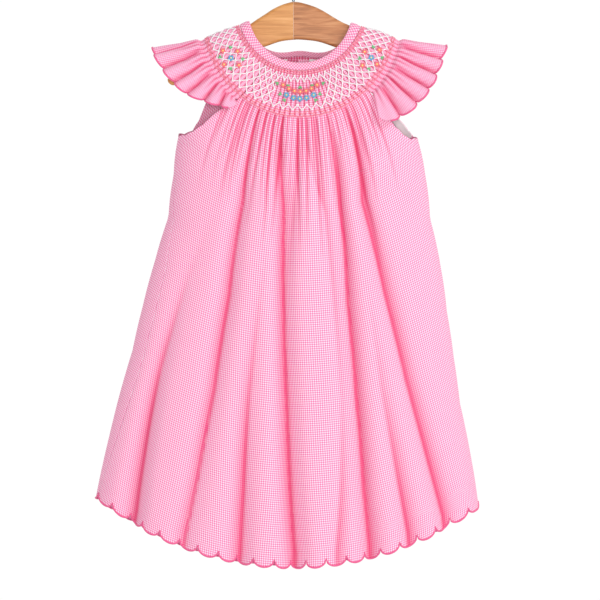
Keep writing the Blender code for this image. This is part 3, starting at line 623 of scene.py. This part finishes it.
def ridge_turns(radius):
    """Turn of every pleat's ridge round the yoke, from centre back round the front to centre back."""
    parts = (
        (-180.0, -180 + edge_turn("back_left", radius), BACK_PLEATS),
        (-180 + edge_turn("back_left", radius), -edge_turn("front_left", radius), SLEEVE_PLEATS),
        (-edge_turn("front_left", radius), edge_turn("front_right", radius), FRONT_PLEATS),
        (edge_turn("front_right", radius), 180 - edge_turn("back_right", radius), SLEEVE_PLEATS),
        (180 - edge_turn("back_right", radius), 180.0, BACK_PLEATS),
    )
    return np.concatenate([
        plain_turns(BODY_RINGS, radius, start, end, (np.arange(pleats) + 0.5) / pleats)
        for start, end, pleats in parts])


def stitched_row(radii, keep, sag=0.0, steps=4):
    """Paths over the ridges, with radii given ridge by ridge. Keep leaves out hidden stitches."""
    table = {r: ridge_turns(r) for r in sorted(set(radii))}
    turns = np.array([table[r][k] for k, r in enumerate(radii)])
    paths, path = [], []
    for k in range(len(radii) - 1):
        if not keep(k, radii[k], turns[k]) or not keep(k + 1, radii[k + 1], turns[k + 1]):
            if len(path) > 1:
                paths.append(np.array(path))
            path = []
            continue
        t = np.linspace(0, 1, steps + 1)[(1 if path else 0):]
        radius, turn = radii[k] + (radii[k + 1] - radii[k]) * t, turns[k] + (turns[k + 1] - turns[k]) * t
        path.extend(lifted(BODY_RINGS, radius, turn, RIDGE_TOP + 0.25 - sag * np.sin(np.pi * t)))
    if len(path) > 1:
        paths.append(np.array(path))
    return paths


MOTIF_HALF_WIDTH, MOTIF_TOP, MOTIF_BOTTOM = 26.0, 66.5, 89.0


def off_motif(_k, radius, turn):
    angle, _ = angle_at(BODY_RINGS, radius, turn)
    away = abs(radius * math.sin(math.radians(angle))) > MOTIF_HALF_WIDTH or abs(turn) > 1.2
    return away or not MOTIF_TOP < radius < MOTIF_BOTTOM


count = 2 * (BACK_PLEATS + SLEEVE_PLEATS) + FRONT_PLEATS
trellis, knots = [], []
for line in range(TRELLIS_LINES):
    radii = [TRELLIS_TOP + HALF_DIAMOND * (line + (k + line) % 2) for k in range(count)]
    trellis += stitched_row(radii, off_motif, 0.15)
for line in range(TRELLIS_LINES + 1):
    radius = TRELLIS_TOP + HALF_DIAMOND * line
    turns = ridge_turns(radius)
    for k in range(line % 2, count, 2):
        if off_motif(k, radius, turns[k]):
            wide = (turns[k] - turns[k - 1] if k else turns[1] - turns[0]) * 0.24
            knots.append(lifted(BODY_RINGS, radius, turns[k] + np.linspace(-wide, wide, 4),
                                np.array([0.1, 0.5, 0.5, 0.1]) + RIDGE_TOP))
# White, with a greyer tone painted as shade between its ribs.
white_thread = thread("white stranded cotton", "#FFFFFF", "#EDE6EA", 0.5, 0.7)
for name, paths, radius in (("smocking_trellis", trellis, 0.6), ("smocking_trellis_knots", knots, 0.6)):
    add_threads(name, paths, radius, white_thread)


def cable_row(radius, swing):
    """Short stitches, each over two pleats, that step up and down by turns."""
    turns = ridge_turns(radius)
    paths = []
    for k in range(count - 1):
        step = swing if k % 2 else -swing
        t = np.linspace(0.04, 0.96, 4)
        paths.append(lifted(BODY_RINGS, radius + step, turns[k] + (turns[k + 1] - turns[k]) * t,
                            RIDGE_TOP + 0.25 * np.sin(np.pi * t)))
    return paths


coral = cable_row(55.0, 0.4) + cable_row(57.6, 0.4) + cable_row(102.0, 0.5)
coral += stitched_row([96.6 + 3.4 * ((k + 1) % 2) for k in range(count)], lambda *_: True, 0.1)
# Coral, with a darker tone painted as shade between its ribs.
coral_thread = thread("coral stranded cotton", "#FC95A4", "#F2708A", 0.5, 0.7)
add_threads("smocking_coral_rows", coral, 0.5, coral_thread)


# Embroidered flowers.
# Small flowers in satin stitch: coral and blue blossoms with yellow centres, and green leaves. Two
# clusters sit on the shoulders, and a plain garland of the same flowers lies at centre front.


def on_yoke(across, down, lift=0.0):
    """A point on the front of the yoke, across and down from the neck centre in millimetres."""
    radius = math.hypot(across, down)
    turn = np.linspace(-1.55, 1.55, 600)
    points = base_points(BODY_RINGS, radius, turn) - np.array([NECK_CENTRE[0], 0, NECK_CENTRE[1]])
    found = turn[np.argmin((points[:, 0] - across) ** 2 + (points[:, 2] + down) ** 2)]
    one = np.array([found])
    height = np.array([RIDGE_TOP + lift])
    return lifted(BODY_RINGS, radius, one, height)[0], outward(BODY_RINGS, radius, one)[0]


def pads(spots, length, width, height):
    """Small padded ovals: satin-stitched petals and leaves. Each spot is centre, normal and direction."""
    points, faces, flat = [], [], []
    rings, sides = 4, 10
    for centre, normal, direction in spots:
        direction = direction - normal * np.dot(direction, normal)
        direction /= np.linalg.norm(direction)
        side = np.cross(normal, direction)
        start = len(points)
        points.append(centre + normal * height)
        flat.append((0.0, 0.0))
        for ring in range(1, rings + 1):
            out = ring / rings
            for k in range(sides):
                a = 2 * math.pi * k / sides
                x, y = math.cos(a) * out * length / 2, math.sin(a) * out * width / 2
                rise = height * math.sqrt(max(0.0, 1 - out**2)) - 0.35 * (ring == rings)
                points.append(centre + direction * x + side * y + normal * rise)
                flat.append((x, y))
        for k in range(sides):
            after = (k + 1) % sides
            faces.append((start, start + 1 + k, start + 1 + after))
            for ring in range(rings - 1):
                a = start + 1 + ring * sides
                faces.append((a + k, a + sides + k, a + sides + after, a + after))
        faces.append(tuple(start + 1 + (rings - 1) * sides + k for k in reversed(range(sides))))
    return np.array(points), faces, np.array(flat)


def add_pads(name, spots, length, width, height, material):
    points, faces, flat = pads(spots, length, width, height)
    thing = add_mesh(name, points, faces, material, flat)
    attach(thing, "root")


# Shoulder clusters: one blue flower, four coral ones on its diagonals, four leaves between them.
flowers = {"blue": [], "coral": []}
leaves = []
for centre_x, centre_y in ((-70.3, 39.4), (72.5, 39.4)):
    flowers["blue"].append((centre_x, centre_y, 2.7))
    for dx, dy in ((-8.2, -7.2), (8.4, -7.8), (-8.6, 8.0), (7.6, 7.4)):
        flowers["coral"].append((centre_x + dx, centre_y + dy, 2.7))
    for dx, dy in ((0.4, -10.6), (11.6, 0.0), (-0.6, 10.8), (-11.4, 0.4)):
        leaves.append((centre_x + dx, centre_y + dy, math.atan2(dy, dx) + 0.5))
# Centre garland: a crescent of coral blossoms over a row of blue ones, with leaves at its ends.
for k in range(7):
    swing = (k - 3) / 3.0
    flowers["coral"].append((swing * 18.0, 76.5 - 7.5 * swing**2, 2.7))
for k in range(5):
    swing = (k - 2) / 2.0
    flowers["blue"].append((swing * 14.0, 83.6 - 4.0 * swing**2, 2.6))
for swing, lean in ((-1, 2.6), (1, 0.5)):
    leaves += [(swing * 23.0, 66.5, lean), (swing * 20.0, 79.0, -lean), (swing * 11.5, 69.5, lean)]
leaves += [(0.0, 70.5, 1.57), (-15.5, 84.0, 2.2), (15.5, 84.0, 0.9)]
# Each thread has its own colour and a darker tone painted as shade between its ribs.
petal_threads = {"blue": ("#6DB4DC", "#4E9AC8"), "coral": ("#FA7F86", "#EC5F70")}
yellow_thread = thread("yellow embroidery cotton", "#FFE98A", "#F3CC55")
right, down = np.array([1.0, 0, 0]), np.array([0, 0, -1.0])
for name, places in flowers.items():
    petals, centres = [], []
    for x, y, size in places:
        centre, normal = on_yoke(x, y, 0.85)
        centres.append((centre + normal * 0.35, normal, right))
        for k in range(5):
            a = 2 * math.pi * (k + 0.25) / 5
            way = right * math.cos(a) + down * math.sin(a)
            petals.append((centre + way * size * 0.62, normal, way))
    petal_thread = thread("%s embroidery cotton" % name, *petal_threads[name])
    add_pads("%s_petals" % name, petals, 3.7, 2.9, 0.75, petal_thread)
    add_pads("%s_flower_centres" % name, centres, 2.3, 2.3, 0.9, yellow_thread)
blades = []
for x, y, lean in leaves:
    centre, normal = on_yoke(x, y, 0.8)
    way = right * math.cos(lean) + down * math.sin(lean)
    for off in (-0.55, 0.55):
        turned = right * math.cos(lean + off) + down * math.sin(lean + off)
        blades.append((centre + turned * 1.3, normal, turned))
# Green, with a darker tone painted as shade between its ribs.
add_pads("leaves", blades, 4.4, 2.1, 0.7, thread("green embroidery cotton", "#7FCB8C", "#56AF6C"))


# White cotton pieces and the back placket.
# Two plain white strips are caught under the back of the binding, a white facing lines the right
# armhole, and a gingham strip backs the centre-back opening. Each lies on the panel's inside.


def back_patch(radii, edges, height, columns=16):
    rows, flat = [], []
    shares = np.linspace(0, 1, columns + 1)
    fine = np.linspace(radii[0], radii[-1], 24)
    left, right_edge = (np.interp(fine, radii, [e[k] for e in edges]) for k in (0, 1))
    for radius, low, high in zip(fine, left, right_edge):
        turn = np.radians(np.linspace(100, 260, 1500))
        base = base_points(BODY_RINGS, radius, turn)
        wanted = NECK_CENTRE[0] + low + shares * (high - low)
        found = np.interp(-wanted, -base[:, 0], turn)
        rows.append(lifted(BODY_RINGS, radius, found, np.full(len(shares), height)))
        flat.append(np.stack([wanted, np.full(len(shares), radius)], axis=-1))
    return np.array(rows), np.array(flat), np.zeros((len(rows), columns + 1))


white_cotton, tree, shader = new_material("plain white cotton", 0.9)
cloth = node(tree, "UVMap", {"uv_map": "cloth_mm"})
wide = node(tree, "Mapping", in0=cloth.outputs[0], Scale=(100 / 0.4,) * 3)
weave = node(tree, "TexNoise", in0=wide.outputs[0], Scale=1.0, Detail=3.0)
tone = ramp(tree, weave.outputs[0], (0.3, "#FAF8F9"), (0.7, "#FFFFFF"))
tree.links.new(tone, shader.inputs["Base Color"])
bump = node(tree, "Bump", Strength=0.3, Distance=0.0002, Height=weave.outputs[0])
tree.links.new(bump.outputs[0], shader.inputs["Normal"])
STRIP_RADII, PLACKET_RADII = (53.0, 57.5, 62.5), (54.6, 67.0, 80.0, 93.0, 104.0)
STRIP_RIGHT = ((9.6, 34.0), (9.6, 33.0), (9.6, 31.0))
STRIP_LEFT = ((-28.0, -13.5), (-27.0, -15.0), (-24.0, -17.0))
patches = (
    ("label_right", STRIP_RADII, STRIP_RIGHT, white_cotton, "white_cotton"),
    ("label_left", STRIP_RADII, STRIP_LEFT, white_cotton, "white_cotton"),
    ("back_placket", PLACKET_RADII, ((-2.6, 9.0),) * 5, dress_cotton, "gingham"),
)
for name, radii, edges, material, slot in patches:
    sheets[name] = add_cloth(name + "_cloth", back_patch(radii, edges, -0.5), material, 0.5)
    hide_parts(name)
    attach(sheets[name], "root")
FACING_TOP, FACING_BOTTOM, FACING_ROWS, FACING_COLUMNS = 126.0, 169.0, 24, 11
rows, flat = [], []
shares = np.linspace(0, 1, COLUMNS_A_SCALLOP * BACK_SCALLOPS + 1)[:FACING_COLUMNS]
for radius in np.linspace(FACING_TOP, FACING_BOTTOM, FACING_ROWS):
    first = 180 - edge_turn("back_right", radius)
    at, turn, height, angle, _ = laid_out(BACK_FOLDS, radius, first, 180.0, shares, 0.1)
    own, _ = gather_lines(radius, angle, BACK_STRONG, BACK_RIGHT_SEED)
    rows.append(lifted(BODY_RINGS, radius, turn, height + own + CLOTH - 0.6))
    flat.append(np.stack([at, np.full(FACING_COLUMNS, radius)], axis=-1))
surface = np.array(rows), np.array(flat), np.zeros((FACING_ROWS, FACING_COLUMNS))
sheets["armhole_facing_right"] = add_cloth("armhole_facing_cloth", surface, white_cotton, 0.4)
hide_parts("armhole_facing_right")
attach(sheets["armhole_facing_right"], "root")


# Back buttons.
# Three pale pink moulded buttons with a raised rim, sewn through four holes. The rim catches the
# light and the dished middle holds the pink thread.

pearl, tree, shader = new_material("pale pink moulded plastic", 0.25)
clouds = node(tree, "TexNoise", Scale=400.0, Detail=3.0)
tone = ramp(tree, clouds.outputs[0], (0.35, "#F6C9D8"), (0.7, "#FCE3EB"))
tree.links.new(tone, shader.inputs["Base Color"])
BUTTON_PROFILE = ((0.0, 0.2), (3.2, 0.2), (4.0, 0.9), (4.7, 1.2), (5.3, 0.9), (5.5, 0.0), (5.2, -1.0),
                  (4.4, -1.2), (0.0, -1.2))
BUTTON_RADII = (62.0, 79.0, 96.0)
PLEAT_RAISE, BUTTON_GAP, HALF_BUTTON = 1.1, 0.4, 1.2
# Pink, with a darker tone painted as shade between its ribs.
sewing_thread = thread("pink sewing thread", "#F08DB2", "#E06A9A", 0.3)
for number, radius in enumerate(BUTTON_RADII, 1):
    turn = np.array([math.pi])
    centre = lifted(BODY_RINGS, radius, turn, np.array([CLOTH + PLEAT_RAISE + BUTTON_GAP + HALF_BUTTON]))[0]
    away = outward(BODY_RINGS, radius, turn)[0]
    wide = np.cross(away, (0.0, 0, 1.0))
    wide /= np.linalg.norm(wide)
    tall = np.cross(away, wide)
    profile = smooth_line(BUTTON_PROFILE, 3, False)
    around = np.linspace(0, 2 * np.pi, 49)
    spokes = [wide * math.cos(a) + tall * math.sin(a) for a in around]
    points = np.array([[centre + spoke * max(r, 0.0) + away * h for spoke in spokes] for r, h in profile])
    button = add_mesh("button_%d_moulded" % number, points, grid_faces(*points.shape[:2])[:, ::-1], pearl)
    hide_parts("button_%d" % number)
    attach(button, "root")
    stitches = []
    for a, b in ((1, 1), (1, -1)):
        ends = [centre + (wide * a + tall * b) * s * 1.1 + away * 0.35 for s in np.linspace(-1, 1, 5)]
        stitches.append([p + away * 0.35 * (1 - s * s) for p, s in zip(ends, np.linspace(-1, 1, 5))])
    add_threads("button_%d_thread" % number, stitches, 0.28, sewing_thread)


# Hanger.
# Two halves of pale hardwood, glued at the middle, sawn to a curve, rounded over and lacquered.
# The left half has straight grain along its arm; the right half is a shade darker and more figured.

HANGER_LEFT = (
    (0.0, 0.0), (7.8, 1.7), (15.1, 4.4), (22.5, 8.2), (29.2, 12.7), (38.7, 18.7), (47.9, 25.0),
    (71.8, 39.2), (92.8, 52.3), (113.8, 66.5), (127.5, 75.9), (132.2, 81.2), (130.6, 85.9),
    (124.3, 87.5), (108.6, 80.1), (87.6, 69.6), (61.3, 58.1), (45.6, 52.3), (30.9, 47.5),
    (14.1, 41.8), (0.0, 39.9),
)
HANGER_RIGHT = (
    (0.0, 0.0), (5.9, 0.4), (11.8, 1.8), (18.8, 3.9), (25.7, 6.6), (33.6, 10.9), (42.2, 16.2),
    (51.3, 21.4), (60.5, 25.7), (84.6, 39.7), (105.6, 52.3), (126.6, 65.9), (140.3, 75.4),
    (144.5, 80.6), (143.4, 85.9), (137.1, 87.5), (121.4, 80.1), (100.4, 69.6), (74.1, 58.1),
    (59.4, 52.8), (44.7, 48.0), (25.8, 41.8), (6.9, 39.7), (0.0, 39.9),
)
HANGER_THICKNESS, HANGER_ROUNDING, HANGER_TOP = 10.0, 3.5, -58.0


def wood(name, light, middle, dark, lean, figure):
    """Lacquered hardwood: long grain lines with finer pores between them, under a satin gloss."""
    made, tree, shader = new_material(name, 0.55)
    place = node(tree, "TexCoord").outputs["Object"]
    grain = node(tree, "Mapping", in0=place, Rotation=(0, 0, lean), Scale=(9.0, 95.0, 40.0))
    bands = node(tree, "TexNoise", in0=grain.outputs[0], Scale=1.6, Detail=5.0, Roughness=0.6,
                 Distortion=figure)
    fine = node(tree, "Mapping", in0=place, Rotation=(0, 0, lean), Scale=(40.0, 1100.0, 400.0))
    pores = node(tree, "TexNoise", in0=fine.outputs[0], Scale=1.0, Detail=3.0)
    both = node(tree, "Mix", {"data_type": "FLOAT"}, in0=0.3, in2=bands.outputs[0], in3=pores.outputs[0])
    tone = ramp(tree, both.outputs[0], (0.32, dark), (0.5, middle), (0.66, light))
    tree.links.new(tone, shader.inputs["Base Color"])
    bump = node(tree, "Bump", Strength=0.12, Distance=0.0003, Height=pores.outputs[0])
    tree.links.new(bump.outputs[0], shader.inputs["Normal"])
    shader.inputs["Coat Weight"].default_value = 0.2
    shader.inputs["Coat Roughness"].default_value = 0.45
    return made


pale_wood = wood("pale straight-grained wood", "#E3A566", "#D08E4C", "#A9672C", 0.53, 0.4)
tan_wood = wood("tan figured wood", "#CF905E", "#B97645", "#935A2E", -0.5, 2.2)
woods = {
    "hanger_left": (-1, HANGER_LEFT, pale_wood, "pale_wood"),
    "hanger_right": (1, HANGER_RIGHT, tan_wood, "tan_wood"),
}
for name, (side, outline, material, slot) in woods.items():
    shape = bpy.data.curves.new(name + "_wood", "CURVE")
    shape.dimensions, shape.fill_mode = "2D", "BOTH"
    shape.extrude, shape.bevel_depth = (HANGER_THICKNESS / 2 - HANGER_ROUNDING) * MM, HANGER_ROUNDING * MM
    shape.bevel_resolution, shape.offset = 6, -HANGER_ROUNDING * MM
    past = (-9.0, outline[0][1]), (-9.0, outline[-1][1])
    curve = smooth_line((past[0], *outline, past[1]), 5, False)
    line = shape.splines.new("POLY")
    line.points.add(len(curve) - 1)
    for point, (across, down_by) in zip(line.points, curve):
        point.co = (side * across * MM, -down_by * MM, 0.0, 1.0)
    line.use_cyclic_u = True
    blank = bpy.data.objects.new(name + "_blank", shape)
    bpy.context.scene.collection.objects.link(blank)
    mesh = bpy.data.meshes.new_from_object(blank.evaluated_get(bpy.context.evaluated_depsgraph_get()))
    bpy.data.objects.remove(blank)
    body = bmesh.new()
    body.from_mesh(mesh)
    bmesh.ops.remove_doubles(body, verts=body.verts, dist=0.00001)
    parts = [*body.verts, *body.edges, *body.faces]
    cut = bmesh.ops.bisect_plane(body, geom=parts, plane_co=(side * 0.06 * MM, 0, 0), plane_no=(side, 0, 0),
                                 clear_inner=True)
    rim = [e for e in cut["geom_cut"] if isinstance(e, bmesh.types.BMEdge)]
    bmesh.ops.holes_fill(body, edges=rim)
    body.to_mesh(mesh)
    body.free()
    mesh.polygons.foreach_set("use_smooth", [True] * len(mesh.polygons))
    mesh.set_sharp_from_angle(angle=0.7)
    mesh.materials.clear()
    mesh.materials.append(material)
    half = bpy.data.objects.new(name + "_wood", mesh)
    bpy.context.scene.collection.objects.link(half)
    half.rotation_euler, half.location = (math.pi / 2, 0, 0), (0, 0, HANGER_TOP * MM)
    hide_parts(name)
    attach(half, "root")


# Hook.
# Three-millimetre steel wire, bent to a hook and set in the top of the hanger. The bright wire's cool
# blue-grey is painted into its colour, a painted reflection of the room.

HOOK_LINE = ((0.0, -57.7), (0.0, -50.5), (0.6, -45.0), (4.5, -41.2), (10.5, -37.4), (16.0, -32.2),
             (19.4, -26.0), (20.5, -19.0), (19.0, -11.2), (14.6, -4.6), (7.9, -0.1), (0.0, 1.5),
             (-7.9, -0.1), (-14.6, -4.6), (-19.0, -11.2), (-20.5, -19.0), (-19.6, -25.2))
WIRE_RADIUS = 1.5
steel, tree, shader = new_material("drawn steel wire", 0.28)
drawn = node(tree, "Mapping", in0=node(tree, "TexCoord").outputs["Object"], Scale=(900.0, 900.0, 60.0))
marks = node(tree, "TexNoise", in0=drawn.outputs[0], Scale=1.0, Detail=2.0)
# Painted reflection: the blue-grey tones stand in for the room reflected in the wire; the noise over them is
# drawing marks.
tone = ramp(tree, marks.outputs[0], (0.3, "#6F7C8C"), (0.7, "#97A3B0"))
tree.links.new(tone, shader.inputs["Base Color"])
shader.inputs["Metallic"].default_value = 1.0
curve = smooth_line(HOOK_LINE, 6, False)
hook = add_threads("hook_wire", [np.insert(curve, 1, 0.0, axis=1)], WIRE_RADIUS, steel, 16)
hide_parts("hook")


# Floor, light and camera.
# A plain pale floor well below the hem, a soft light from the upper right as in the photograph, a
# broad fill from the front, and a white surround. The camera looks straight at the front.

FLOOR_REACH, FLOOR_HEIGHT = 3.0, -0.95
corners = [(x * FLOOR_REACH, y * FLOOR_REACH, FLOOR_HEIGHT) for x, y in ((-1, -1), (1, -1), (1, 1), (-1, 1))]
mesh = bpy.data.meshes.new("floor")
mesh.from_pydata(corners, [], [(0, 1, 2, 3)])
floor = bpy.data.objects.new("floor", mesh)
bpy.context.scene.collection.objects.link(floor)
pale, tree, shader = new_material("pale floor", 0.9)
shader.inputs["Base Color"].default_value = colour("#F2F1F0")
mesh.materials.append(pale)

surround = bpy.data.worlds.new("surround")
surround.use_nodes = True
tree = surround.node_tree
heading = node(tree, "SeparateXYZ", in0=node(tree, "TexCoord").outputs["Generated"])
depth = node(tree, "MapRange", {"interpolation_type": "SMOOTHSTEP"}, in0=heading.outputs[1],
             in1=-0.5, in2=0.5, in3=0.45, in4=1.02)
tree.links.new(depth.outputs[0], tree.nodes["Background"].inputs["Strength"])
tree.nodes["Background"].inputs["Color"].default_value = colour("#FFFFFF")
bpy.context.scene.world = surround
bpy.context.scene.view_settings.view_transform = "Standard"


def add_light(name, place, aim, size, power):
    lamp = bpy.data.lights.new(name, "AREA")
    lamp.shape, lamp.size, lamp.energy = "DISK", size, power
    thing = bpy.data.objects.new(name, lamp)
    bpy.context.scene.collection.objects.link(thing)
    thing.location = place
    thing.rotation_euler = (Vector(aim) - Vector(place)).to_track_quat("-Z", "Y").to_euler()


add_light("key", (1.7, -1.6, 1.0), (0.0, 0.0, -0.35), 0.8, 24.0)
add_light("fill", (0.0, -4.6, -0.2), (0.0, 0.0, -0.3), 0.7, 76.0)

# The hanger's top stands at this pixel of a picture this wide, and the yoke this far before its plane.
APEX_ACROSS, APEX_DOWN, PICTURE, YOKE_DEPTH = 293.4, 1.2, 600, 0.02
MM_A_PIXEL, CAMERA_DISTANCE, SENSOR = 1.05, 9.0, 36.0
camera = bpy.data.cameras.new("camera")
camera.sensor_width = SENSOR
camera.lens = SENSOR * (CAMERA_DISTANCE - YOKE_DEPTH) / (PICTURE * MM_A_PIXEL * MM)
eye = bpy.data.objects.new("camera", camera)
bpy.context.scene.collection.objects.link(eye)
eye.location = ((PICTURE / 2 - APEX_ACROSS) * MM_A_PIXEL * MM, -CAMERA_DISTANCE,
                (HANGER_TOP - (PICTURE / 2 - APEX_DOWN) * MM_A_PIXEL) * MM)
eye.rotation_euler = (math.pi / 2, 0, 0)
bpy.context.scene.camera = eye

bpy.context.view_layer.update()
